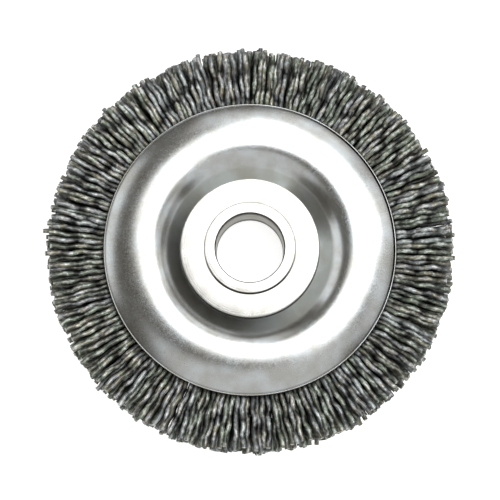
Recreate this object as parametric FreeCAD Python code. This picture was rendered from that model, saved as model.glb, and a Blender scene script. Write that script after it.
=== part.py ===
"""Crimped-filament wheel brush: two dished side plates clamp a ring of filament bundles on a hub sleeve.

Millimetres. The arbor axis is Z and the origin is the centre of the bore, halfway between the two faces.
The front half is drawn once; the rear half is the same pressing turned over.
"""

import FreeCAD
import Part

import math
import os

from FreeCAD import Vector

# Overall sizes
BRUSH_DIAMETER = 76.2
TIP_WIDTH = 11.6
TIP_CROWN = 1.2

# Hub sleeve: the tube that slides on the arbor
ARBOR_BORE = 12.7
SLEEVE_WALL = 2.0
SLEEVE_LENGTH = 12.7
SLEEVE_EDGE_BREAK = 0.15

# Hub collars: rings pressed on the sleeve, one on each side
COLLAR_DIAMETER = 25.4
COLLAR_BELOW_SLEEVE_END = 0.3
COLLAR_EDGE_BREAK = 0.3
COLLAR_BORE_BREAK = 0.25

# Side plates: pressed steel dishes with a stiffening crest
PLATE_DIAMETER = 54.0
PLATE_THICKNESS = 0.9
PLATE_HOLE_CLEARANCE = 0.05
SEAT_HEIGHT = 2.9
FOOT_PAST_COLLAR = 0.2
FOOT_BEND_SHARE = 0.11
CREST_POSITION_SHARE = 0.51
CREST_BEND_SHARE = 0.95
INNER_SLOPE_DEG = 34.0
RIM_SLOPE_DEG = 28.0
RIM_FLANGE_WIDTH = 0.3
RIM_EDGE_RADIUS = 0.2

# Core washer: keeps the two plates apart at the hub
WASHER_DIAMETER = 25.0
WASHER_CLEARANCE = 0.05
WASHER_EDGE_BREAK = 0.15

# Retaining ring: the wire that the filaments are folded over
RETAINING_WIRE = 3.0
RING_POSITION_SHARE = 0.45

# Filament bundles
BUNDLE_COUNT = 48
BUNDLE_GAP = 0.25
FILL_CLEARANCE = 0.1
WIRE_CLEARANCE = 0.05
FOLD_THICKNESS = 2.2
CRIMP_LENGTH = 5.2
CRIMP_HEIGHT = 0.45

# Worked out from the sizes above
BORE_RADIUS = ARBOR_BORE / 2
SLEEVE_RADIUS = BORE_RADIUS + SLEEVE_WALL
SLEEVE_END = SLEEVE_LENGTH / 2
COLLAR_RADIUS = COLLAR_DIAMETER / 2
COLLAR_TOP = SLEEVE_END - COLLAR_BELOW_SLEEVE_END
PLATE_RADIUS = PLATE_DIAMETER / 2
BRUSH_RADIUS = BRUSH_DIAMETER / 2
WIRE_RADIUS = RETAINING_WIRE / 2

# Where the plate's foot bend ends, where its crest is highest, and where the wire lies
FOOT_POSITION_RADIUS = COLLAR_RADIUS + FOOT_PAST_COLLAR
CREST_POSITION_RADIUS = COLLAR_RADIUS + CREST_POSITION_SHARE * (PLATE_RADIUS - COLLAR_RADIUS)
RING_POSITION_RADIUS = COLLAR_RADIUS + RING_POSITION_SHARE * (PLATE_RADIUS - COLLAR_RADIUS)

# The plate's three bends and its height at the crest
SLOPE_WIDTH = CREST_POSITION_RADIUS - FOOT_POSITION_RADIUS
FOOT_RADIUS = FOOT_BEND_SHARE * SLOPE_WIDTH
CREST_BEND_RADIUS = CREST_BEND_SHARE * SLOPE_WIDTH
INNER_SLOPE = math.radians(INNER_SLOPE_DEG)
RIM_SLOPE = math.radians(RIM_SLOPE_DEG)
OUTER_BEND_RADIUS = (PLATE_RADIUS - RIM_FLANGE_WIDTH - CREST_POSITION_RADIUS) / math.sin(RIM_SLOPE)
BEND_RADII = FOOT_RADIUS + CREST_BEND_RADIUS
BEND_RISE = BEND_RADII * (1 - math.cos(INNER_SLOPE))
STRAIGHT_RISE = (SLOPE_WIDTH - BEND_RADII * math.sin(INNER_SLOPE)) * math.tan(INNER_SLOPE)
CREST_HEIGHT = SEAT_HEIGHT + BEND_RISE + STRAIGHT_RISE

AXIS = Vector(0, 0, 1)
CENTRE = Vector(0, 0, 0)
SAME_SIZE = 1e-6


def section_point(radius, height):
    """A point of a turned section: radius from the axis along X, height along Z."""
    return Vector(radius, 0, height)


def line(start, end):
    return Part.LineSegment(start, end).toShape()


def arc(start, middle, end):
    return Part.Arc(start, middle, end).toShape()


def polyline(points):
    """Straight edges through the points, in order."""
    return [line(a, b) for a, b in zip(points, points[1:])]


def turned(edges):
    """The solid that a closed section sweeps round the arbor axis."""
    face = Part.Face(Part.Wire(edges))
    return face.revolve(CENTRE, AXIS, 360)


def turned_ring(inner_radius, outer_radius, bottom, top, bore_break, edge_break):
    """A plain ring with its inner and outer edges broken by chamfers at both ends."""
    corners = [
        (inner_radius + bore_break, bottom),
        (outer_radius - edge_break, bottom),
        (outer_radius, bottom + edge_break),
        (outer_radius, top - edge_break),
        (outer_radius - edge_break, top),
        (inner_radius + bore_break, top),
        (inner_radius, top - bore_break),
        (inner_radius, bottom + bore_break),
    ]
    points = [section_point(*corner) for corner in corners]
    return turned(polyline(points + points[:1]))


def turned_over(shape):
    """The same piece on the rear side: half a turn about X."""
    copy = shape.copy()
    copy.rotate(CENTRE, Vector(1, 0, 0), 180)
    return copy


class PlateSection:
    """The pressed section of the front side plate, measured at any depth below its outer surface.

    From the hub outwards: a flat seat, a foot bend, a straight inner slope, a bend up to the crest, a wider
    bend down to the rim, and a narrow flat flange.
    """

    def __init__(self):
        self.foot_centre = section_point(FOOT_POSITION_RADIUS, SEAT_HEIGHT + FOOT_RADIUS)
        self.crest_centre = section_point(CREST_POSITION_RADIUS, CREST_HEIGHT - CREST_BEND_RADIUS)
        self.outer_centre = section_point(CREST_POSITION_RADIUS, CREST_HEIGHT - OUTER_BEND_RADIUS)
        self.flange_height = self.outer_centre.z + OUTER_BEND_RADIUS * math.cos(RIM_SLOPE)

    def foot_point(self, slope, depth):
        """A point of the foot bend where the sheet climbs at the given slope."""
        reach = FOOT_RADIUS + depth
        return self.foot_centre + Vector(reach * math.sin(slope), 0, -reach * math.cos(slope))

    def crest_point(self, slope, depth):
        """A point of the crest bend where the sheet still climbs at the given slope."""
        reach = CREST_BEND_RADIUS - depth
        return self.crest_centre + Vector(-reach * math.sin(slope), 0, reach * math.cos(slope))

    def outer_point(self, slope, depth):
        """A point of the outer bend where the sheet falls at the given slope."""
        reach = OUTER_BEND_RADIUS - depth
        return self.outer_centre + Vector(reach * math.sin(slope), 0, reach * math.cos(slope))

    def flange_slope(self, depth):
        """The slope at which the outer bend meets the flange at the given depth."""
        rise = self.flange_height - depth - self.outer_centre.z
        return math.acos(rise / (OUTER_BEND_RADIUS - depth))

    def rim_point(self, depth):
        """The end of the flange."""
        return section_point(PLATE_RADIUS, self.flange_height - depth)

    def over_the_crest(self, depth):
        """The edges of one surface from the top of the inner slope to the rim."""
        end_slope = self.flange_slope(depth)
        crest = [self.crest_point(INNER_SLOPE * share, depth) for share in (1, 0.5, 0)]
        outer = [self.outer_point(end_slope * share, depth) for share in (0, 0.5, 1)]
        return [arc(*crest), arc(*outer), line(outer[2], self.rim_point(depth))]

    def surface(self, depth, hub_radius):
        """The edges of one surface of the sheet, from the hub to the rim."""
        foot = [self.foot_point(INNER_SLOPE * share, depth) for share in (0, 0.5, 1)]
        seat = line(section_point(hub_radius, SEAT_HEIGHT - depth), foot[0])
        slope = line(foot[2], self.crest_point(INNER_SLOPE, depth))
        return [seat, arc(*foot), slope] + self.over_the_crest(depth)


def side_plate(section):
    """A dished plate of even thickness, with its rim's outer edge rounded."""
    hub_radius = SLEEVE_RADIUS + PLATE_HOLE_CLEARANCE
    top = section.surface(0, hub_radius)
    bottom = section.surface(PLATE_THICKNESS, hub_radius)
    rim = line(top[-1].lastVertex().Point, bottom[-1].lastVertex().Point)
    hole = line(bottom[0].firstVertex().Point, top[0].firstVertex().Point)
    plate = turned(Part.__sortEdges__(top + [rim] + bottom + [hole]))
    rim_height = section.rim_point(0).z
    outer_edge = [
        edge
        for edge in plate.Edges
        if isinstance(edge.Curve, Part.Circle)
        and abs(edge.Curve.Radius - PLATE_RADIUS) < SAME_SIZE
        and abs(edge.Curve.Center.z - rim_height) < SAME_SIZE
    ]
    return plate.makeFillet(min(RIM_EDGE_RADIUS, PLATE_THICKNESS / 2), outer_edge)


def hub_sleeve():
    """The tube that carries everything and fits the arbor."""
    return turned_ring(
        BORE_RADIUS, SLEEVE_RADIUS, -SLEEVE_END, SLEEVE_END, SLEEVE_EDGE_BREAK, SLEEVE_EDGE_BREAK
    )


def hub_collar():
    """The front collar: it seats on the plate and grips the sleeve."""
    return turned_ring(
        SLEEVE_RADIUS, COLLAR_RADIUS, SEAT_HEIGHT, COLLAR_TOP, COLLAR_BORE_BREAK, COLLAR_EDGE_BREAK
    )


def core_washer():
    """The washer between the two plate seats."""
    half = SEAT_HEIGHT - PLATE_THICKNESS
    hole_radius = SLEEVE_RADIUS + WASHER_CLEARANCE
    return turned_ring(
        hole_radius, WASHER_DIAMETER / 2, -half, half, WASHER_EDGE_BREAK, WASHER_EDGE_BREAK
    )


def retaining_ring(wire_radius=WIRE_RADIUS):
    """The closed wire ring under the plate crests."""
    return Part.makeTorus(RING_POSITION_RADIUS, wire_radius)


def fill_ring(section):
    """All the filaments as one turned body: folded over the wire, gripped at the rim and crowned."""
    depth = PLATE_THICKNESS + FILL_CLEARANCE
    fold = section_point(RING_POSITION_RADIUS - WIRE_RADIUS - FOLD_THICKNESS, 0)
    fold_shoulder = section.crest_point(INNER_SLOPE, depth)
    tip = section_point(BRUSH_RADIUS - TIP_CROWN, TIP_WIDTH / 2)
    upper = section.over_the_crest(depth) + [line(section.rim_point(depth), tip)]
    mirrored = [turned_over_edge(edge) for edge in upper]
    fold_arc = arc(mirror_point(fold_shoulder), fold, fold_shoulder)
    end = arc(tip, section_point(BRUSH_RADIUS, 0), mirror_point(tip))
    body = turned(Part.__sortEdges__(upper + [end] + mirrored + [fold_arc]))
    return body.cut(retaining_ring(WIRE_RADIUS + WIRE_CLEARANCE))


def mirror_point(point):
    """The same point of the section on the rear side."""
    return section_point(point.x, -point.z)


def turned_over_edge(edge):
    """The same edge of the section on the rear side."""
    return edge.mirror(CENTRE, AXIS)


def crimped_side(side_angle):
    """One side of a bundle in plan: straight between the plates, then a crimp wave out to the tips."""
    out = Vector(math.cos(side_angle), math.sin(side_angle), 0)
    across = Vector(-out.y, out.x, 0)
    inset = across * (-math.copysign(BUNDLE_GAP / 2, side_angle))
    start = out * BORE_RADIUS + inset
    previous = out * PLATE_RADIUS + inset
    edges = [line(start, previous)]
    half_waves = math.ceil((BRUSH_RADIUS - PLATE_RADIUS) / (CRIMP_LENGTH / 2)) + 1
    for number in range(half_waves):
        radius = PLATE_RADIUS + number * CRIMP_LENGTH / 2
        swing = CRIMP_HEIGHT if number % 2 == 0 else -CRIMP_HEIGHT
        peak = out * (radius + CRIMP_LENGTH / 4) + inset + across * swing
        following = out * (radius + CRIMP_LENGTH / 2) + inset
        edges.append(arc(previous, peak, following))
        previous = following
    return edges


def filament_bundle(fill):
    """One bundle of filaments: the share of the fill between two crimped sides."""
    half_angle = math.pi / BUNDLE_COUNT
    right = crimped_side(-half_angle)
    left = crimped_side(half_angle)
    inner = line(right[0].firstVertex().Point, left[0].firstVertex().Point)
    outer = line(right[-1].lastVertex().Point, left[-1].lastVertex().Point)
    plan = Part.Face(Part.Wire(Part.__sortEdges__(right + [outer] + left + [inner])))
    reach = TIP_WIDTH + CREST_HEIGHT
    plan.translate(AXIS * -reach)
    return fill.common(plan.extrude(AXIS * 2 * reach))


def brush_pieces():
    """Every piece of the brush by its node name."""
    section = PlateSection()
    plate = side_plate(section)
    collar = hub_collar()
    pieces = {
        "hub_sleeve": hub_sleeve(),
        "hub_collar_front": collar,
        "hub_collar_rear": turned_over(collar),
        "side_plate_front": plate,
        "side_plate_rear": turned_over(plate),
        "core_washer": core_washer(),
        "retaining_ring": retaining_ring(),
    }
    bundle = filament_bundle(fill_ring(section))
    for number in range(BUNDLE_COUNT):
        copy = bundle.copy()
        copy.rotate(CENTRE, AXIS, number * 360 / BUNDLE_COUNT)
        pieces[f"filament_bundle_{number + 1:02d}"] = copy
    return pieces


def main():
    os.makedirs("parts", exist_ok=True)
    for name, shape in brush_pieces().items():
        shape.exportStep(f"parts/{name}.step")
        solids = len(shape.Solids)
        print(f"{name}: {solids} solid, {shape.Volume:.1f} mm3, valid {shape.isValid()}")


main()
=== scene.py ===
"""Crimped-filament wheel brush: its looks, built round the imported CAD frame.

The brush lies flat on its rear hub face with the arbor axis along Z through the origin. Sizes are written in
millimetres and turned to metres by MM where a mesh or a pattern is made.
"""

import logging
import math
from collections.abc import Iterable
from dataclasses import dataclass
from enum import Enum

import bpy
import numpy as np
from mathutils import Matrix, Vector

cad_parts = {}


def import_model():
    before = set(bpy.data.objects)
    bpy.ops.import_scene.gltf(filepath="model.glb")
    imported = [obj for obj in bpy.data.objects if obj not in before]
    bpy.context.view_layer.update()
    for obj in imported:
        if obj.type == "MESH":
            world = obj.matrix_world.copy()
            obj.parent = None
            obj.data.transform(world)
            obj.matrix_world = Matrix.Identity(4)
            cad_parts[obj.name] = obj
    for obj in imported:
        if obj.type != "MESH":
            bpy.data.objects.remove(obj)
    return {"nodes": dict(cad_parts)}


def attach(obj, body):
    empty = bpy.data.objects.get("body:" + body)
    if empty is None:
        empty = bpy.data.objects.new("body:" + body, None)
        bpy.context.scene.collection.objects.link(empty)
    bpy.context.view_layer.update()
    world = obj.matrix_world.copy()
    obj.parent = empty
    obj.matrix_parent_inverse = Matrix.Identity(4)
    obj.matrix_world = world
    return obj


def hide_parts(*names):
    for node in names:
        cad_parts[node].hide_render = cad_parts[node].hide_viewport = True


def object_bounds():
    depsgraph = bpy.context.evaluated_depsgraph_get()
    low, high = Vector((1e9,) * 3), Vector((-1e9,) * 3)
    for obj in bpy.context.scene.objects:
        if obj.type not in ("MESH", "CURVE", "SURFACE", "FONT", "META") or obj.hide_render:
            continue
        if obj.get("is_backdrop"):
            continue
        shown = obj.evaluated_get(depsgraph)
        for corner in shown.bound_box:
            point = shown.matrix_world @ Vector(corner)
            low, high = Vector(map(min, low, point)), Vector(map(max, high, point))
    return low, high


LOG = logging.getLogger("wheel_brush")
MM = 0.001
BODY = "root"
STRAND_SHADE = "strand_shade"
# The strands' painted light and shade, with wear at their tips.
STRAND_LIGHT_AND_WEAR = "strand_light_and_wear"
# Noise stays near one half, so a pattern is read between these two values of it.
NOISE_SPAN = (0.3, 0.7)
# A fine line of dirt is whole over this share of its half width and fades over the rest.
LINE_CORE = 0.4
# A mix node gives several inputs one name, so they go by number: the share, then two colours or numbers.
SHARE, COLOUR_FROM, COLOUR_TO, NUMBER_FROM, NUMBER_TO = 0, 6, 7, 2, 3
WELD_MM = 0.002
TURNED_SMOOTH_DEG = 20.0
STRAND_SMOOTH_DEG = 80.0

Point = tuple[float, float]
Span = tuple[float, float]
Wave = tuple[int, float, float]


class Slot(Enum):
    """The record's material slots."""

    HUB = "hub_steel"
    PLATE = "plate_steel"
    FILAMENT = "filament_nylon"


class Side(Enum):
    """The two faces of the brush, each with the sign of its heights."""

    FRONT = 1
    REAR = -1


def linear(hex_colour: str) -> tuple[float, float, float, float]:
    """Turns an sRGB hex colour into linear light.

    Args:
        hex_colour: six hex digits after a hash.

    Returns:
        Red, green, blue and an alpha of 1.
    """
    parts = [int(hex_colour[i : i + 2], 16) / 255 for i in (1, 3, 5)]
    red, green, blue = [c / 12.92 if c <= 0.04045 else ((c + 0.055) / 1.055) ** 2.4 for c in parts]
    return red, green, blue, 1.0


def direction(azimuth: float, elevation: float) -> Vector:
    """The way from the origin towards a compass angle and a height.

    Args:
        azimuth: degrees from +X towards +Y.
        elevation: degrees above the floor.

    Returns:
        A unit vector.
    """
    turn, rise = math.radians(azimuth), math.radians(elevation)
    return Vector((math.cos(turn) * math.cos(rise), math.sin(turn) * math.cos(rise), math.sin(rise)))


def per_metre(size_mm: float) -> float:
    """The texture scale at which one feature is about this many millimetres."""
    return 1 / (size_mm * MM)


def new_tree(name: str) -> tuple[bpy.types.Material, bpy.types.NodeTree]:
    """Makes an empty material.

    Args:
        name: the material's name.

    Returns:
        The material and its tree.
    """
    material = bpy.data.materials.new(name)
    material.use_nodes = True
    material.node_tree.nodes.clear()
    return material, material.node_tree


def add_node(
    tree: bpy.types.NodeTree,
    kind: str,
    links: dict[str | int, object] | tuple[object, ...] = (),
    stops: Iterable[tuple[float, str]] = (),
    **settings: object,
) -> bpy.types.Node:
    """Adds a shader node, sets it up and links it.

    Args:
        tree: the node tree.
        kind: the node's type name, after the words that all of them start with.
        links: the inputs, in order or by name or number: the node or socket that feeds each, or its value.
        stops: for a ramp, its places and hex colours.
        settings: properties of the node.

    Returns:
        The new node.
    """
    node = tree.nodes.new(f"ShaderNode{kind}")
    for name, value in settings.items():
        setattr(node, name, value)
    for number, (place, colour) in enumerate(stops):
        element = node.color_ramp.elements[number] if number < 2 else node.color_ramp.elements.new(place)
        element.position = place
        element.color = linear(colour)
    inputs = links if isinstance(links, dict) else dict(enumerate(links))
    for socket, value in inputs.items():
        if isinstance(value, bpy.types.Node):
            value = next(output for output in value.outputs if output.enabled)
        if isinstance(value, bpy.types.NodeSocket):
            tree.links.new(value, node.inputs[socket])
        else:
            node.inputs[socket].default_value = value
    return node


def from_axis(
    tree: bpy.types.NodeTree, place: bpy.types.NodeSocket
) -> tuple[bpy.types.Node, bpy.types.Node]:
    """Finds how a spot lies round the arbor axis.

    Args:
        tree: the node tree.
        place: the spot's Object coordinates.

    Returns:
        The way from the axis out to the spot, and the length of that way, in metres.
    """
    flat = add_node(tree, "VectorMath", (place, (1, 1, 0)), operation="MULTIPLY")
    return flat, add_node(tree, "VectorMath", (flat,), operation="LENGTH")


def one_side(
    tree: bpy.types.NodeTree,
    place: bpy.types.NodeSocket,
    degrees: float,
    radius_mm: float,
    reach: Span,
    share: Span,
) -> bpy.types.Node:
    """Gives a share that changes towards one side of the brush.

    Args:
        tree: the node tree.
        place: the spot's Object coordinates.
        degrees: the side, from +X towards +Y.
        radius_mm: the radius that the reach is measured by.
        reach: where that way the change starts and ends, in radii from the axis.
        share: the share before the change and after it.

    Returns:
        The node that holds the share.
    """
    way = add_node(tree, "VectorMath", (place, direction(degrees, 0)), operation="DOT_PRODUCT")
    start, end = [part * radius_mm * MM for part in reach]
    return add_node(tree, "MapRange", (way, start, end, *share))


def fine_line(
    tree: bpy.types.NodeTree, radius: bpy.types.Node, line_mm: float, half_width_mm: float
) -> bpy.types.Node:
    """Draws a fine line round the axis.

    Args:
        tree: the node tree.
        radius: the spot's distance from the axis.
        line_mm: the line's radius.
        half_width_mm: how far it reaches to each side.

    Returns:
        The node that is 1 along the middle of the line and 0 outside it.
    """
    past = add_node(tree, "Math", (radius, line_mm * MM), operation="SUBTRACT")
    distance = add_node(tree, "Math", (past,), operation="ABSOLUTE")
    width = half_width_mm * MM
    return add_node(tree, "MapRange", (distance, width * LINE_CORE, width, 1.0, 0.0))


@dataclass(frozen=True)
class PressedSteel:
    """Cold-rolled steel sheet, pressed and tumbled: satin, with a fine grain, smudges and a few small pits.

    A reach is measured from the axis towards the side where the crease's painted shade is strongest, in radii
    of the crease at the rim.
    """

    name: str = "pressed_steel"
    bright: str = "#DCE2E5"
    dull: str = "#C8C9C6"
    tone_span: Span = (0.38, 0.62)
    roughness: Span = (0.22, 0.28)
    smudge_mm: float = 5.0
    grain_mm: float = 0.45
    grain_depth_mm: float = 0.0012
    pit: str = "#8C8A85"
    pit_mm: float = 1.1
    pit_span: Span = (0.75, 0.8)
    pit_most: float = 0.7
    # Painted shade on one side of the rolled lip.
    lip_mm: float = 26.7
    lip_reach: Span = (0.4, -0.3)
    lip_share: Span = (0.0, 0.75)
    # Painted shade for the crease at the rim, strongest on one side, and for the corner at the collar.
    painted_shade: str = "#1C1A16"
    crease_shade_deg: float = 22.0
    crease_mm: float = 26.63
    crease_width_mm: float = 0.24
    crease_reach: Span = (0.25, 0.9)
    crease_share: Span = (0.3, 1.0)
    corner_mm: Span = (12.92, 13.1)
    corner_share: Span = (0.95, 0.0)
    burnished_mm: Span = (15.5, 18.0)
    burnish: float = 0.82

    def material(self) -> bpy.types.Material:
        """Builds the node tree.

        Returns:
            The finished material.
        """
        material, tree = new_tree(self.name)
        place = add_node(tree, "TexCoord").outputs["Object"]
        _, radius = from_axis(tree, place)
        smudge = add_node(
            tree, "TexNoise", {"Vector": place, "Scale": per_metre(self.smudge_mm), "Detail": 5.0}
        )
        tone = add_node(tree, "ValToRGB", (smudge,), zip(self.tone_span, (self.dull, self.bright)))
        pits = add_node(tree, "TexNoise", {"Vector": place, "Scale": per_metre(self.pit_mm)})
        pit_share = add_node(tree, "MapRange", (pits, *self.pit_span, 0.0, self.pit_most))
        pitted = add_node(
            tree, "Mix", {SHARE: pit_share, COLOUR_FROM: tone, COLOUR_TO: linear(self.pit)}, data_type="RGBA"
        )
        # Painted shade: the rolled lip is painted darker, in the pit colour, on the side away from the
        # crease's strongest painted shade.
        on_lip = add_node(tree, "Math", (radius, self.lip_mm * MM), operation="GREATER_THAN")
        lip_shaded_side = one_side(
            tree, place, self.crease_shade_deg, self.crease_mm, self.lip_reach, self.lip_share
        )
        lip_shade = add_node(tree, "Math", (on_lip, lip_shaded_side), operation="MULTIPLY")
        lip_shaded = add_node(
            tree, "Mix", {SHARE: lip_shade, COLOUR_FROM: pitted, COLOUR_TO: linear(self.pit)}, data_type="RGBA"
        )
        # Painted shade lies in the corner at the collar and, mostly on one side, in the crease at the rim.
        in_crease = fine_line(tree, radius, self.crease_mm, self.crease_width_mm)
        crease_shaded_side = one_side(
            tree, place, self.crease_shade_deg, self.crease_mm, self.crease_reach, self.crease_share
        )
        crease_shade = add_node(tree, "Math", (in_crease, crease_shaded_side), operation="MULTIPLY")
        corner = [edge * MM for edge in self.corner_mm]
        corner_shade = add_node(tree, "MapRange", (radius, *corner, *self.corner_share))
        shade_cover = add_node(tree, "Math", (crease_shade, corner_shade), operation="MAXIMUM")
        colour = add_node(
            tree, "Mix", {SHARE: shade_cover, COLOUR_FROM: lip_shaded, COLOUR_TO: linear(self.painted_shade)}, data_type="RGBA"
        )
        # One grain covers about two pixels of the render; a real one is finer.
        grain = add_node(
            tree, "TexNoise", {"Vector": place, "Scale": per_metre(self.grain_mm), "Detail": 3.0}
        )
        rough = add_node(tree, "MapRange", (grain, *NOISE_SPAN, *self.roughness))
        # The press tool has burnished the slope next to the hub.
        slope = [edge * MM for edge in self.burnished_mm]
        burnish = add_node(tree, "MapRange", (radius, *slope, self.burnish, 1.0))
        finish = add_node(tree, "Math", (rough, burnish), operation="MULTIPLY")
        bump = add_node(
            tree, "Bump", {"Height": grain, "Distance": self.grain_depth_mm * MM, "Strength": 1.0}
        )
        shader = add_node(
            tree,
            "BsdfPrincipled",
            {"Base Color": colour, "Metallic": 1.0, "Roughness": finish, "Normal": bump},
        )
        add_node(tree, "OutputMaterial", {"Surface": shader})
        return material


@dataclass(frozen=True)
class TurnedSteel:
    """Steel turned on a lathe and bright zinc plated: fine rings round the axis, a dull bore and a matt rind.

    The rind is the collar's outer wall. A reach is measured from the axis towards the side where painted
    shade or a painted shadow lies, in radii of the rind or of the joint between sleeve and collar.
    """

    name: str = "turned_steel"
    bright: str = "#E2E2DF"
    dull: str = "#CBCAC5"
    tone_span: Span = (0.36, 0.6)
    roughness: Span = (0.24, 0.38)
    smudge_mm: float = 3.0
    ring_mm: float = 0.3
    ring_depth_mm: float = 0.006
    bore_grey: str = "#74736C"
    bore_olive: str = "#5A5638"
    bore_span: Span = (0.38, 0.58)
    bore_mm: float = 6.5
    rind: str = "#F4F4F0"
    rind_mm: float = 12.69
    rind_roughness: float = 0.75
    # Painted shade on the rind, wide on one side and in a streak on the other.
    rind_shade: str = "#5C5850"
    rind_shade_deg: float = 217.0
    rind_shade_reach: Span = (0.0, 0.75)
    rind_shade_share: Span = (0.0, 0.95)
    streak_deg: float = 33.0
    streak_reach: Span = (0.88, 0.99)
    streak_share: Span = (0.0, 0.75)
    # A painted shadow in the joint, mostly on one side; the same dark also darkens the ends of the bore.
    joint_shadow_and_bore_dark: str = "#1B1712"
    joint_shadow_deg: float = 270.0
    joint_shadow_reach: Span = (0.0, 0.7)
    joint_shadow_share: Span = (0.0, 1.0)
    tone_shift_mm: Span = (2.75, 6.35)
    joint_mm: float = 8.42
    joint_width_mm: float = 0.27

    def material(self) -> bpy.types.Material:
        """Builds the node tree.

        Returns:
            The finished material.
        """
        material, tree = new_tree(self.name)
        place = add_node(tree, "TexCoord").outputs["Object"]
        _, radius = from_axis(tree, place)
        smudge = add_node(
            tree, "TexNoise", {"Vector": place, "Scale": per_metre(self.smudge_mm), "Detail": 5.0}
        )
        tone = add_node(tree, "ValToRGB", (smudge,), zip(self.tone_span, (self.dull, self.bright)))
        bore = add_node(
            tree, "ValToRGB", (smudge,), zip(self.bore_span, (self.bore_olive, self.bore_grey))
        )
        # The bore is darker towards both of its ends.
        in_bore = add_node(tree, "Math", (radius, self.bore_mm * MM), operation="LESS_THAN")
        height = add_node(tree, "SeparateXYZ", (place,)).outputs["Z"]
        depth = add_node(tree, "Math", (height,), operation="ABSOLUTE")
        at_end = add_node(tree, "MapRange", (depth, *[edge * MM for edge in self.tone_shift_mm]))
        bore_darkened = add_node(
            tree, "Mix", {SHARE: at_end, COLOUR_FROM: bore, COLOUR_TO: linear(self.joint_shadow_and_bore_dark)}, data_type="RGBA"
        )
        faced = add_node(
            tree, "Mix", {SHARE: in_bore, COLOUR_FROM: tone, COLOUR_TO: bore_darkened}, data_type="RGBA"
        )
        # Painted shade lies on the rind, over a wide part of one side and in a streak on the other.
        on_rind = add_node(tree, "Math", (radius, self.rind_mm * MM), operation="GREATER_THAN")
        rind_shaded_side = one_side(tree, place, self.rind_shade_deg, self.rind_mm, self.rind_shade_reach, self.rind_shade_share)
        streak = one_side(
            tree, place, self.streak_deg, self.rind_mm, self.streak_reach, self.streak_share
        )
        rind_shade_cover = add_node(tree, "Math", (rind_shaded_side, streak), operation="MAXIMUM")
        wall = add_node(
            tree,
            "Mix",
            {SHARE: rind_shade_cover, COLOUR_FROM: linear(self.rind), COLOUR_TO: linear(self.rind_shade)},
            data_type="RGBA",
        )
        colour = add_node(
            tree, "Mix", {SHARE: on_rind, COLOUR_FROM: faced, COLOUR_TO: wall}, data_type="RGBA"
        )
        # A painted shadow lies in the joint between sleeve and collar, most of it on one side of the hub.
        in_joint = fine_line(tree, radius, self.joint_mm, self.joint_width_mm)
        joint_shadowed_side = one_side(tree, place, self.joint_shadow_deg, self.joint_mm, self.joint_shadow_reach, self.joint_shadow_share)
        joint_shadow_cover = add_node(tree, "Math", (in_joint, joint_shadowed_side), operation="MULTIPLY")
        joint_shadowed = add_node(
            tree,
            "Mix",
            {SHARE: joint_shadow_cover, COLOUR_FROM: colour, COLOUR_TO: linear(self.joint_shadow_and_bore_dark)},
            data_type="RGBA",
        )
        # The tool marks are drawn a little coarser than real ones so that they show.
        rings = add_node(
            tree,
            "TexNoise",
            {"W": radius, "Scale": per_metre(self.ring_mm), "Detail": 2.0},
            noise_dimensions="1D",
        )
        rough = add_node(tree, "MapRange", (rings, *NOISE_SPAN, *self.roughness))
        # The rind and the darker ends of the bore are matt, and the metal doesn't show where the rind has
        # painted shade or the bore's ends are darker.
        dark_bore_ends = add_node(tree, "Math", (in_bore, at_end), operation="MULTIPLY")
        matt = add_node(tree, "Math", (on_rind, dark_bore_ends), operation="MAXIMUM")
        finish = add_node(tree, "Mix", {SHARE: matt, NUMBER_FROM: rough, NUMBER_TO: self.rind_roughness})
        shaded_rind = add_node(tree, "Math", (on_rind, rind_shade_cover), operation="MULTIPLY")
        darkened = add_node(tree, "Math", (shaded_rind, dark_bore_ends), operation="MAXIMUM")
        bare = add_node(tree, "Math", (1.0, darkened), operation="SUBTRACT")
        bump = add_node(
            tree, "Bump", {"Height": rings, "Distance": self.ring_depth_mm * MM, "Strength": 1.0}
        )
        shader = add_node(
            tree,
            "BsdfPrincipled",
            {"Base Color": joint_shadowed, "Metallic": bare, "Roughness": finish, "Normal": bump},
        )
        add_node(tree, "OutputMaterial", {"Surface": shader})
        return material


@dataclass(frozen=True)
class MillSteel:
    """Plain rolled steel with patches of mill scale, for the pieces closed in between the plates."""

    name: str = "mill_steel"
    bright: str = "#8E8C88"
    scale: str = "#5E5B57"
    tone_span: Span = (0.4, 0.6)
    roughness: Span = (0.4, 0.6)
    patch_mm: float = 2.5

    def material(self) -> bpy.types.Material:
        """Builds the node tree.

        Returns:
            The finished material.
        """
        material, tree = new_tree(self.name)
        place = add_node(tree, "TexCoord").outputs["Object"]
        patches = add_node(
            tree, "TexNoise", {"Vector": place, "Scale": per_metre(self.patch_mm), "Detail": 6.0}
        )
        tone = add_node(tree, "ValToRGB", (patches,), zip(self.tone_span, (self.scale, self.bright)))
        smooth, coarse = self.roughness
        rough = add_node(tree, "MapRange", {"Value": patches, "To Min": coarse, "To Max": smooth})
        shader = add_node(
            tree, "BsdfPrincipled", {"Base Color": tone, "Metallic": 1.0, "Roughness": rough}
        )
        add_node(tree, "OutputMaterial", {"Surface": shader})
        return material


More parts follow.
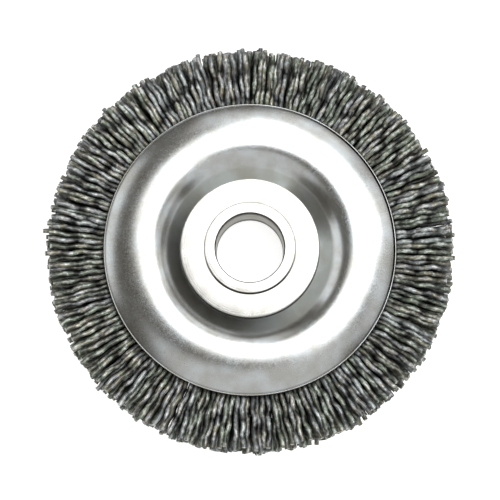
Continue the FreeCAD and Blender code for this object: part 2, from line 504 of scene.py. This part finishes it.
@dataclass(frozen=True)
class GritNylon:
    """Nylon filled with abrasive grit, extruded and crimped: dull grey with a waxy gleam.

    Each strand has its own shade. It has painted shade at its sides, at its root and in the inner layers, and
    painted light on its outer face, with painted glints in streaks and weaker painted light between them; its
    tips are lighter with wear.
    """

    name: str = "grit_nylon"
    painted_shaded: tuple[str, ...] = ("#090A07", "#0D100B", "#0F0C09", "#0D0D10", "#101314")
    painted_lit: tuple[str, ...] = ("#ABB7A4", "#B3C3AC", "#C8C1A5", "#BFC3C8", "#D8E3E0")
    # The colour of the painted glints.
    glint_colour: str = "#F4FAFA"
    roughness: Span = (0.26, 0.42)
    # Nylon is near 1.53; the strands themselves look duller than that, and the grit in the wax shines more.
    ior: float = 1.45
    wax_roughness: float = 0.12
    wax_ior: float = 2.0
    tone_shift_mm: float = 1.6
    tint_spread: float = 0.35
    grit_mm: float = 0.4
    grit_depth_mm: float = 0.05
    glint_mm: float = 0.45
    glint_stretch: float = 1.7
    glint_radius_mm: float = 33.0
    glint_span: Span = (0.54, 0.58)
    dark_streak_span: Span = (0.38, 0.48)
    dark_streak_share: Span = (0.55, 1.0)

    def material(self) -> bpy.types.Material:
        """Builds the node tree.

        Returns:
            The finished material.
        """
        material, tree = new_tree(self.name)
        place = add_node(tree, "TexCoord").outputs["Object"]
        strand = add_node(tree, "Attribute", attribute_name=STRAND_SHADE).outputs["Fac"]
        light_and_wear = add_node(tree, "Attribute", attribute_name=STRAND_LIGHT_AND_WEAR).outputs["Fac"]
        stain = add_node(
            tree, "TexNoise", {"Vector": place, "Scale": per_metre(self.tone_shift_mm), "Detail": 2.0}
        )
        spread = add_node(tree, "MapRange", (stain, *NOISE_SPAN, -self.tint_spread, self.tint_spread))
        tint = add_node(tree, "Math", (strand, spread), operation="ADD")
        # The first ramp's dark tones are painted shade; the second's pale tones are painted light, and wear
        # at the tips.
        painted_shaded, painted_lit = [
            add_node(tree, "ValToRGB", (tint,), zip(np.linspace(0, 1, len(colours)), colours))
            for colours in (self.painted_shaded, self.painted_lit)
        ]
        # Painted glints lie in short streaks along the strands, which run out from the axis, and between them
        # the painted light is weaker.
        flat, reach = from_axis(tree, place)
        towards = add_node(tree, "VectorMath", (flat,), operation="NORMALIZE")
        along = add_node(tree, "Math", (reach, 1 / self.glint_stretch), operation="MULTIPLY")
        drawn_out = add_node(tree, "CombineXYZ", {"Z": along})
        around = (self.glint_radius_mm * MM,) * 3
        streaks = add_node(tree, "VectorMath", (towards, around, drawn_out), operation="MULTIPLY_ADD")
        glints = add_node(
            tree, "TexNoise", {"Vector": streaks, "Scale": per_metre(self.glint_mm), "Detail": 3.0}
        )
        painted_glints = add_node(tree, "MapRange", (glints, *self.glint_span))
        dark_streaks = add_node(tree, "MapRange", (glints, *self.dark_streak_span, *self.dark_streak_share))
        glint_share, lit_share = [
            add_node(tree, "Math", (share, light_and_wear), operation="MULTIPLY") for share in (painted_glints, dark_streaks)
        ]
        shade = add_node(tree, "Mix", {SHARE: lit_share, COLOUR_FROM: painted_shaded, COLOUR_TO: painted_lit}, data_type="RGBA")
        colour = add_node(
            tree, "Mix", {SHARE: glint_share, COLOUR_FROM: shade, COLOUR_TO: linear(self.glint_colour)}, data_type="RGBA"
        )
        # Grit of a tenth of a millimetre is drawn several times as coarse so that it shows.
        grit = add_node(
            tree, "TexNoise", {"Vector": place, "Scale": per_metre(self.grit_mm), "Detail": 2.0}
        )
        rough = add_node(tree, "MapRange", (grit, *NOISE_SPAN, *self.roughness))
        bump = add_node(
            tree, "Bump", {"Height": grit, "Distance": self.grit_depth_mm * MM, "Strength": 1.0}
        )
        shader = add_node(
            tree,
            "BsdfPrincipled",
            {
                "Base Color": colour,
                "Roughness": rough,
                "IOR": self.ior,
                "Coat Weight": light_and_wear,
                "Coat Roughness": self.wax_roughness,
                "Coat IOR": self.wax_ior,
                "Coat Normal": bump,
                "Normal": bump,
            },
        )
        add_node(tree, "OutputMaterial", {"Surface": shader})
        return material


def deselect_all() -> None:
    """Leaves edit mode and clears the selection."""
    if bpy.context.object is not None and bpy.context.object.mode != "OBJECT":
        bpy.ops.object.mode_set(mode="OBJECT")
    bpy.ops.object.select_all(action="DESELECT")


def arc_points(centre: Point, radius: float, start_deg: float, end_deg: float, steps: int) -> list[Point]:
    """Samples an arc of a turned section.

    Args:
        centre: radius and height of the arc's centre.
        radius: the arc's radius.
        start_deg: the angle of the first point, from outwards towards up.
        end_deg: the angle of the last point.
        steps: how many pieces the arc is cut into.

    Returns:
        The points, both ends among them.
    """
    angles = np.radians(np.linspace(start_deg, end_deg, steps + 1))
    return [(centre[0] + radius * math.cos(a), centre[1] + radius * math.sin(a)) for a in angles]


def turn_on_axis(name: str, section: list[Point], side: Side, steps: int) -> bpy.types.Object:
    """Extrudes one vertex along a closed section and spins it round the arbor axis.

    Args:
        name: the new object's name.
        section: the section's corners in millimetres, as radius and height.
        side: the face of the brush that the section lies on.
        steps: how many parts the full turn is cut into.

    Returns:
        The turned object, smooth where its faces meet at a small angle.
    """
    points = [Vector((radius, 0, height * side.value)) * MM for radius, height in section]
    deselect_all()
    bpy.ops.mesh.primitive_plane_add(size=MM, location=(0, 0, 0))
    piece = bpy.context.object
    piece.name = piece.data.name = name
    bpy.ops.object.mode_set(mode="EDIT")
    bpy.ops.mesh.merge(type="CENTER")
    bpy.ops.transform.translate(value=points[0])
    for here, there in zip(points, points[1:] + points[:1]):
        bpy.ops.mesh.extrude_region_move(TRANSFORM_OT_translate={"value": there - here})
    bpy.ops.mesh.select_all(action="SELECT")
    bpy.ops.mesh.spin(steps=steps, angle=math.tau, center=(0, 0, 0), axis=(0, 0, 1))
    bpy.ops.mesh.select_all(action="SELECT")
    bpy.ops.mesh.remove_doubles(threshold=WELD_MM * MM)
    bpy.ops.mesh.normals_make_consistent(inside=False)
    bpy.ops.object.mode_set(mode="OBJECT")
    bpy.ops.object.shade_smooth_by_angle(angle=math.radians(TURNED_SMOOTH_DEG))
    return piece


def dress(piece: bpy.types.Object, material: bpy.types.Material, node: str) -> None:
    """Gives a piece its finish and puts it in the place of its CAD node.

    Args:
        piece: the modelled piece.
        material: its finish.
        node: the CAD node that it stands for.
    """
    piece.data.materials.clear()
    piece.data.materials.append(material)
    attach(piece, BODY)
    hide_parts(node)
    LOG.info("%s: %d faces", piece.name, len(piece.data.polygons))


@dataclass
class SidePlates:
    """The two pressed dishes, in millimetres: the CAD section, with a fine rolled lip at the rim."""

    hole_radius: float = 8.4
    outer_radius: float = 27.0
    thickness: float = 0.9
    seat_height: float = 2.9
    foot_radius: float = 12.9
    crest_radius: float = 19.993
    foot_bend: float = 0.780
    crest_bend: float = 6.738
    inner_slope_deg: float = 34.0
    rim_slope_deg: float = 28.0
    flange_width: float = 0.3
    lip_radius: float = 0.13
    lip_rise: float = 0.13
    lip_slope_deg: float = 32.0
    foot_steps: int = 6
    crest_steps: int = 16
    rim_steps: int = 18
    lip_steps: int = 8
    edge_steps: int = 6
    turn_steps: int = 192

    def surface(self, depth: float) -> list[Point]:
        """Samples one surface of the sheet from the hub to the crease at the rim.

        Args:
            depth: how far below the outer surface it lies.

        Returns:
            The points, from the hub outwards.
        """
        slope = math.radians(self.inner_slope_deg)
        bends = self.foot_bend + self.crest_bend
        straight = self.crest_radius - self.foot_radius - bends * math.sin(slope)
        crest_height = self.seat_height + bends * (1 - math.cos(slope)) + straight * math.tan(slope)
        foot = (self.foot_radius, self.seat_height + self.foot_bend)
        crest = (self.crest_radius, crest_height - self.crest_bend)
        reach = self.outer_radius - self.flange_width - self.crest_radius
        outer_bend = reach / math.sin(math.radians(self.rim_slope_deg))
        outer = (self.crest_radius, crest_height - outer_bend)
        flange_height = outer[1] + outer_bend * math.cos(math.radians(self.rim_slope_deg)) - depth
        end = math.degrees(math.acos((flange_height - outer[1]) / (outer_bend - depth)))
        return (
            [(self.hole_radius, self.seat_height - depth)]
            + arc_points(foot, self.foot_bend + depth, -90, self.inner_slope_deg - 90, self.foot_steps)
            + arc_points(crest, self.crest_bend - depth, 90 + self.inner_slope_deg, 90, self.crest_steps)
            + arc_points(outer, outer_bend - depth, 90, 90 - end, self.rim_steps)[1:]
        )

    def section(self) -> list[Point]:
        """Closes the two surfaces into the sheet's section, with the lip at the rim.

        Returns:
            The closed section.
        """
        top = self.surface(0)
        bottom = self.surface(self.thickness)
        turn = self.outer_radius - self.lip_radius
        lip_centre = (turn, top[-1][1] + self.lip_rise - self.lip_radius)
        edge_centre = (turn, bottom[-1][1] + self.lip_radius)
        lip = arc_points(lip_centre, self.lip_radius, 90 + self.lip_slope_deg, 0, self.lip_steps)
        edge = arc_points(edge_centre, self.lip_radius, 0, -90, self.edge_steps)
        return top + lip + edge + bottom[::-1]

    def build(self, finish: bpy.types.Material) -> None:
        """Makes and dresses both plates.

        Args:
            finish: the plates' material.
        """
        for side in Side:
            word = side.name.lower()
            plate = turn_on_axis(f"plate_{word}", self.section(), side, self.turn_steps)
            dress(plate, finish, f"side_plate_{word}")


@dataclass
class Hub:
    """The bored sleeve and its two collars, in millimetres."""

    bore_radius: float = 6.35
    sleeve_radius: float = 8.35
    sleeve_end: float = 6.35
    sleeve_break: float = 0.1
    collar_radius: float = 12.7
    collar_seat: float = 2.9
    collar_top: float = 6.05
    collar_break: float = 0.15
    collar_bore_break: float = 0.12
    edge_steps: int = 6
    turn_steps: int = 128

    def ring(self, radii: Span, heights: Span, bore_break: float, edge_break: float) -> list[Point]:
        """The section of a ring whose four edges are rounded.

        Args:
            radii: of the hole and of the outside.
            heights: of the lower and the upper face.
            bore_break: rounding of the two edges of the hole.
            edge_break: rounding of the two outer edges.

        Returns:
            The closed section, anticlockwise.
        """
        inner, outer = radii[0] + bore_break, radii[1] - edge_break
        bottom, top = heights
        steps = self.edge_steps
        return (
            arc_points((inner, bottom + bore_break), bore_break, 180, 270, steps)
            + arc_points((outer, bottom + edge_break), edge_break, 270, 360, steps)
            + arc_points((outer, top - edge_break), edge_break, 0, 90, steps)
            + arc_points((inner, top - bore_break), bore_break, 90, 180, steps)
        )

    def build(self, finish: bpy.types.Material) -> None:
        """Makes and dresses the sleeve and the collars.

        Args:
            finish: the hub's material.
        """
        radii, heights = (self.bore_radius, self.sleeve_radius), (-self.sleeve_end, self.sleeve_end)
        tube = self.ring(radii, heights, self.sleeve_break, self.sleeve_break)
        sleeve = turn_on_axis("sleeve", tube, Side.FRONT, self.turn_steps)
        dress(sleeve, finish, "hub_sleeve")
        radii, heights = (self.sleeve_radius, self.collar_radius), (self.collar_seat, self.collar_top)
        collar = self.ring(radii, heights, self.collar_bore_break, self.collar_break)
        for side in Side:
            word = side.name.lower()
            piece = turn_on_axis(f"collar_{word}", collar, side, self.turn_steps)
            dress(piece, finish, f"hub_collar_{word}")


@dataclass
class FilamentFill:
    """The crimped strands, one mesh for each bundle of the frame.

    Lengths are in millimetres. A station is a share of a strand's way from the rim to its tip. A ripple is
    the height of an uneven wave round the brush, a scatter is how far single strands stray, and a spread
    holds the ends of an even random draw.
    """

    bundles: int = 48
    layers: tuple[int, ...] = (4, 4, 4, 4, 4, 4)
    strand_radius: float = 0.45
    sides: int = 5
    root_stations: tuple[float, ...] = (-0.42, -0.18, 0.0, 0.035)
    free_stations: int = 12
    rim_radius: float = 27.0
    tip_radius: float = 37.8
    tip_crown: float = 0.8
    tip_limit: float = 39.0
    out_of_round: float = 0.1
    trim_ripple: float = 0.23
    trim_scatter: float = 0.26
    grip_height: float = 1.9
    grip_scatter: float = 0.06
    grip_flare: float = 0.9
    nest_share: float = 0.05
    place_scatter: float = 0.16
    tip_height: float = 5.3
    tip_spread: Span = (0.84, 1.0)
    tip_scatter: float = 0.25
    flare_power: float = 1.1
    drift_ripple: float = 0.75
    drift_scatter: float = 0.2
    drift_lag: float = 0.15
    drift_power: float = 1.4
    crimp_length: float = 4.9
    length_spread: Span = (0.88, 1.14)
    crimp_across: float = 0.13
    across_spread: Span = (0.6, 1.3)
    crimp_rise: float = 0.24
    rise_spread: Span = (0.5, 1.3)
    crimp_start: float = 0.15
    root_sway: float = 0.4
    phase_ripple: float = 3.0
    phase_rate: float = 0.5
    phase_turn: float = 1.0
    phase_scatter: float = 0.7
    kink_share: float = 0.5
    kink_rate: float = 1.7
    # Painted light and shade on the strands: which layers are lit, the painted shadow next to the rim, the
    # crest highlights and the lean to one side.
    lit_level: float = 0.5
    rim_shadow_span: Span = (0.015, 0.075)
    lit_least: float = 0.6
    crest_highlight: float = 0.5
    side_power: float = 0.7
    lit_spread: Span = (0.5, 1.25)
    light_lean: float = 0.2
    light_deg: float = 75.0
    worn_tip: float = 0.34
    worn_from: float = 0.7
    tuft_counts: range = range(17, 62, 4)
    trim_counts: range = range(9, 50, 5)
    wave_weights: Span = (0.5, 1.0)
    seed: int = 20

    def __post_init__(self) -> None:
        """Sets the stations along a strand and draws the uneven waves round the brush."""
        self.stations = np.concatenate([self.root_stations, np.linspace(0, 1, self.free_stations + 1)[1:]])
        self.random = rng = np.random.default_rng(self.seed)
        self.tuft_waves, self.trim_waves = [
            [(count, rng.uniform(0, math.tau), rng.uniform(*self.wave_weights)) for count in counts]
            for counts in (self.tuft_counts, self.trim_counts)
        ]

    def straight_strand(self) -> bpy.types.Object:
        """Models one straight strand: a disc extruded ring by ring along Z, one ring for each station.

        Returns:
            The closed strand, smooth along its length and sharp at its cut ends.
        """
        deselect_all()
        bpy.ops.mesh.primitive_circle_add(
            vertices=self.sides, radius=self.strand_radius * MM, fill_type="NGON", location=(0, 0, 0)
        )
        strand = bpy.context.object
        bpy.ops.object.mode_set(mode="EDIT")
        for _ in self.stations[1:]:
            bpy.ops.mesh.extrude_region_move(TRANSFORM_OT_translate={"value": (0, 0, MM)})
        bpy.ops.mesh.select_all(action="SELECT")
        bpy.ops.mesh.normals_make_consistent(inside=False)
        bpy.ops.object.mode_set(mode="OBJECT")
        bpy.ops.object.shade_smooth_by_angle(angle=math.radians(STRAND_SMOOTH_DEG))
        return strand

    @staticmethod
    def ripple(waves: list[Wave], angle: float) -> float:
        """A smooth uneven value round the brush, from about -1 to 1.

        Args:
            waves: counts round the brush, phases and weights.
            angle: where on the brush, in radians.

        Returns:
            Twice the weighted mean of the waves.
        """
        total = sum(weight for _, _, weight in waves)
        # The waves seldom peak together, so their mean is doubled.
        return sum(weight * math.sin(count * angle + phase) for count, phase, weight in waves) / total * 2

    def path(self, angle: float, level: float) -> tuple[np.ndarray, np.ndarray]:
        """Lays one strand from between the plates to its tip.

        Args:
            angle: where it leaves the rim, in radians.
            level: its layer, from -1 at the rear to 1 at the front.

        Returns:
            One point for each station, in millimetres, and how far the strand is painted light there, from 0
            to 1.
        """
        rng = self.random
        tip_radius = self.tip_radius - self.tip_crown * level**2
        tip_radius += self.trim_ripple * self.ripple(self.trim_waves, angle)
        tip_radius += rng.normal(0, self.trim_scatter)
        tip_radius += self.out_of_round * (math.cos(angle) + math.cos(2 * angle))
        length = min(tip_radius, self.tip_limit) - self.rim_radius
        drift = self.drift_ripple * self.ripple(self.tuft_waves, angle + self.drift_lag * level)
        drift += rng.normal(0, self.drift_scatter)
        grip = level * self.grip_height + rng.normal(0, self.grip_scatter)
        tip = level * self.tip_height * rng.uniform(*self.tip_spread) + rng.normal(0, self.tip_scatter)
        out = np.clip(self.stations, 0, None)
        inside = np.clip(-self.stations, 0, None)
        radius = self.rim_radius + self.stations * length
        height = grip * (1 + self.grip_flare * inside) + (tip - grip) * out**self.flare_power
        across = drift * out**self.drift_power
        # The crimp is in step with its neighbours, tuft by tuft, and starts a little way out from the rim.
        wave_length = self.crimp_length * rng.uniform(*self.length_spread)
        phase = self.phase_ripple * self.ripple(self.tuft_waves, angle * self.phase_rate + self.phase_turn)
        phase += rng.uniform(-self.phase_scatter, self.phase_scatter)
        turns = math.tau * out * length / wave_length + phase
        rise = np.clip(out / self.crimp_start, 0, 1)
        kink = self.kink_share * np.sin(self.kink_rate * turns + rng.uniform(0, math.tau))
        sway = (np.sin(turns) + kink) * (self.root_sway + (1 - self.root_sway) * rise)
        lift = (np.sin(turns + rng.uniform(0, math.tau)) + kink) * rise
        across = across + self.crimp_across * rng.uniform(*self.across_spread) * sway
        height = height + self.crimp_rise * rng.uniform(*self.rise_spread) * lift
        outward = np.array([math.cos(angle), math.sin(angle), 0.0])
        sideways = np.array([-math.sin(angle), math.cos(angle), 0.0])
        points = radius[:, None] * outward + across[:, None] * sideways
        points[:, 2] = np.clip(height, -self.tip_height, self.tip_height)
        # Painted light and shade: only the outer layers are painted light, most where the crimp stands proud
        # and a little more on one side of the brush, and a painted shadow darkens each strand next to the
        # rim.
        outer_layer = np.clip((abs(level) - self.lit_level) / (1 - self.lit_level), 0, 1)
        start, end = self.rim_shadow_span
        root = np.clip((out - start) / (end - start), 0, 1)
        lean = 1 + self.light_lean * math.cos(angle - math.radians(self.light_deg))
        lit_amount = rng.uniform(*self.lit_spread) * lean
        proud = self.lit_least + self.crest_highlight * lift * math.copysign(1, level)
        return points, np.clip(outer_layer * root * lit_amount * proud, 0, 1)

    def bend(self, strand: bpy.types.Object, points: np.ndarray, painted_lit: np.ndarray, face: float) -> None:
        """Moves a straight strand's rings on to a path and writes its shade and its painted light and wear.

        Args:
            strand: a copy of the straight strand.
            points: one point for each ring, in millimetres.
            painted_lit: how far each ring is painted light, from 0 to 1.
            face: 1 where the side painted light faces up, -1 where it faces down.
        """
        along = np.gradient(points, axis=0)
        along /= np.linalg.norm(along, axis=1, keepdims=True)
        side = np.cross(along, [0.0, 0.0, 1.0])
        side /= np.linalg.norm(side, axis=1, keepdims=True)
        up = np.cross(side, along)
        mesh = strand.data
        flat = np.empty(len(mesh.vertices) * 3)
        mesh.vertices.foreach_get("co", flat)
        local = flat.reshape(-1, 3)
        ring = np.rint(local[:, 2] / MM).astype(int)
        bent = points[ring] * MM + local[:, :1] * side[ring] + local[:, 1:2] * up[ring]
        mesh.vertices.foreach_set("co", bent.ravel())
        # Painted light: the strand's face that looks out of the brush is painted lighter than its flanks, and
        # its tips are lighter with wear.
        outside = np.clip(local[:, 1] / (self.strand_radius * MM) * face, 0, 1) ** self.side_power
        worn_tip = self.worn_tip * np.clip((self.stations - self.worn_from) / (1 - self.worn_from), 0, 1)
        marks = {
            STRAND_SHADE: np.full(len(local), self.random.uniform(0, 1)),
            STRAND_LIGHT_AND_WEAR: np.maximum(painted_lit[ring] * outside, worn_tip[ring]),
        }
        for name, values in marks.items():
            layer = mesh.attributes.new(name, "FLOAT", "POINT")
            layer.data.foreach_set("value", values.astype(np.float32))
        mesh.update()

    def bundle(self, master: bpy.types.Object, number: int) -> bpy.types.Object:
        """Makes the strands of one bundle and joins them.

        Args:
            master: the straight strand.
            number: the bundle's place round the brush, from 0.

        Returns:
            The joined bundle.
        """
        sector = math.tau / self.bundles
        strands = []
        for layer, count in enumerate(self.layers):
            level = 2 * layer / (len(self.layers) - 1) - 1
            for place in range(count):
                stray = self.random.uniform(-self.place_scatter, self.place_scatter)
                share = (place + 0.5 + stray) / count - 0.5
                strand = master.copy()
                strand.data = master.data.copy()
                bpy.context.collection.objects.link(strand)
                nested = level + self.nest_share * (-1) ** place
                points, painted_lit = self.path((number + share) * sector, nested)
                self.bend(strand, points, painted_lit, math.copysign(1, level))
                strands.append(strand)
        deselect_all()
        for strand in strands:
            strand.select_set(True)
        bpy.context.view_layer.objects.active = strands[0]
        bpy.ops.object.join()
        joined = bpy.context.object
        joined.name = joined.data.name = f"filaments_{number + 1:02d}"
        return joined

    def build(self, finish: bpy.types.Material) -> None:
        """Makes and dresses every bundle.

        Args:
            finish: the strands' material.
        """
        master = self.straight_strand()
        for number in range(self.bundles):
            dress(self.bundle(master, number), finish, f"filament_bundle_{number + 1:02d}")
        bpy.data.objects.remove(master, do_unlink=True)


@dataclass(frozen=True)
class Lamp:
    """A flat soft lamp that faces the brush. Angles in degrees, lengths in metres."""

    name: str
    azimuth: float
    elevation: float
    distance: float
    size: tuple[float, float]
    radiance: float

    def build(self) -> None:
        """Hangs the lamp."""
        data = bpy.data.lights.new(self.name, "AREA")
        data.shape = "RECTANGLE"
        data.size, data.size_y = self.size
        # A flat lamp's power is its radiance times its area times pi.
        data.energy = self.radiance * self.size[0] * self.size[1] * math.pi
        lamp = bpy.data.objects.new(self.name, data)
        bpy.context.collection.objects.link(lamp)
        lamp.location = direction(self.azimuth, self.elevation) * self.distance
        lamp.rotation_euler = lamp.location.to_track_quat("Z", "Y").to_euler()
        lamp.visible_camera = False


@dataclass
class Studio:
    """Floor, light and camera. Lengths in metres, the lens and its sensor in millimetres."""

    floor_colour: str = "#F4F4F3"
    floor_glow: float = 0.95
    floor_size: float = 8.0
    world_colour: str = "#FFF4E2"
    world_strength: float = 0.1
    camera_azimuth: float = -90.0
    camera_elevation: float = 85.0
    camera_distance: float = 0.23
    clip_start: float = 0.01
    lens_mm: float = 88.1
    sensor_mm: float = 36.0
    shift_up: float = 0.001
    shift_across: float = 0.0002
    lamps: tuple[Lamp, ...] = (
        Lamp("overhead", 52, 71.2, 0.7, (0.66, 0.57), 2.6),
        Lamp("right_skirt", 0, 42.5, 0.8, (0.75, 0.28), 0.6),
        Lamp("back_skirt", 80, 41.4, 0.8, (0.75, 0.28), 0.64),
        Lamp("corner_skirt", 44, 34, 0.8, (1.0, 0.17), 0.58),
        Lamp("front_panel", 272, 41, 0.8, (1.05, 0.92), 0.57),
        Lamp("left_card", 165, 27, 0.8, (0.7, 0.4), 0.88),
    )

    def floor(self, height: float) -> None:
        """Lays the pale floor. It is white to the camera and to reflections, and still takes the shadow.

        Args:
            height: where the brush rests, in metres.
        """
        deselect_all()
        bpy.ops.mesh.primitive_grid_add(
            x_subdivisions=2, y_subdivisions=2, size=self.floor_size, location=(0, 0, 0)
        )
        floor = bpy.context.object
        floor.name = "floor"
        for vertex in floor.data.vertices:
            vertex.co.z = height
        material, tree = new_tree("matt_white_board")
        seen = add_node(tree, "LightPath").outputs
        direct = add_node(
            tree, "Math", (seen["Is Camera Ray"], seen["Is Glossy Ray"]), operation="MAXIMUM"
        )
        shown = add_node(tree, "Math", (direct, seen["Is Transmission Ray"]), operation="MAXIMUM")
        glow_share = add_node(tree, "Math", (shown, self.floor_glow), operation="MULTIPLY")
        board = add_node(tree, "BsdfDiffuse", {"Color": linear(self.floor_colour)})
        glow = add_node(
            tree, "Emission", {"Color": linear(self.floor_colour), "Strength": glow_share}
        )
        both = add_node(tree, "AddShader", (board, glow))
        add_node(tree, "OutputMaterial", {"Surface": both})
        floor.data.materials.append(material)
        floor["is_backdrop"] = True

    def light(self) -> None:
        """Sets the room's even light and hangs the lamps."""
        world = bpy.data.worlds.new("room")
        bpy.context.scene.world = world
        world.use_nodes = True
        room = world.node_tree.nodes["Background"]
        room.inputs["Color"].default_value = linear(self.world_colour)
        room.inputs["Strength"].default_value = self.world_strength
        for lamp in self.lamps:
            lamp.build()
        bpy.context.scene.view_settings.view_transform = "Standard"

    def camera(self) -> None:
        """Places the camera above the brush, tipped a little towards the viewer."""
        data = bpy.data.cameras.new("camera")
        data.lens = self.lens_mm
        data.sensor_width = self.sensor_mm
        data.shift_x = self.shift_across
        data.shift_y = self.shift_up
        data.clip_start = self.clip_start
        camera = bpy.data.objects.new("camera", data)
        bpy.context.collection.objects.link(camera)
        camera.location = direction(self.camera_azimuth, self.camera_elevation) * self.camera_distance
        camera.rotation_euler = camera.location.to_track_quat("Z", "Y").to_euler()
        bpy.context.scene.camera = camera

    def build(self, floor_height: float) -> None:
        """Sets up the whole studio.

        Args:
            floor_height: where the brush rests, in metres.
        """
        self.floor(floor_height)
        self.light()
        self.camera()


def dress_hidden_core(nodes: dict[str, bpy.types.Object], finish: bpy.types.Material) -> None:
    """Gives the washer and the wire ring between the plates their finish.

    Args:
        nodes: the frame's CAD nodes.
        finish: their material.
    """
    for name in ("core_washer", "retaining_ring"):
        nodes[name].data.materials.clear()
        nodes[name].data.materials.append(finish)


def main() -> None:
    """Builds the brush and its studio."""
    logging.basicConfig(level=logging.INFO)
    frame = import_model()
    cad_low, cad_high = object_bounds()
    Studio().build(cad_low[2])
    SidePlates().build(PressedSteel().material())
    Hub().build(TurnedSteel().material())
    FilamentFill().build(GritNylon().material())
    dress_hidden_core(frame["nodes"], MillSteel().material())


if __name__ == "__main__":
    main()
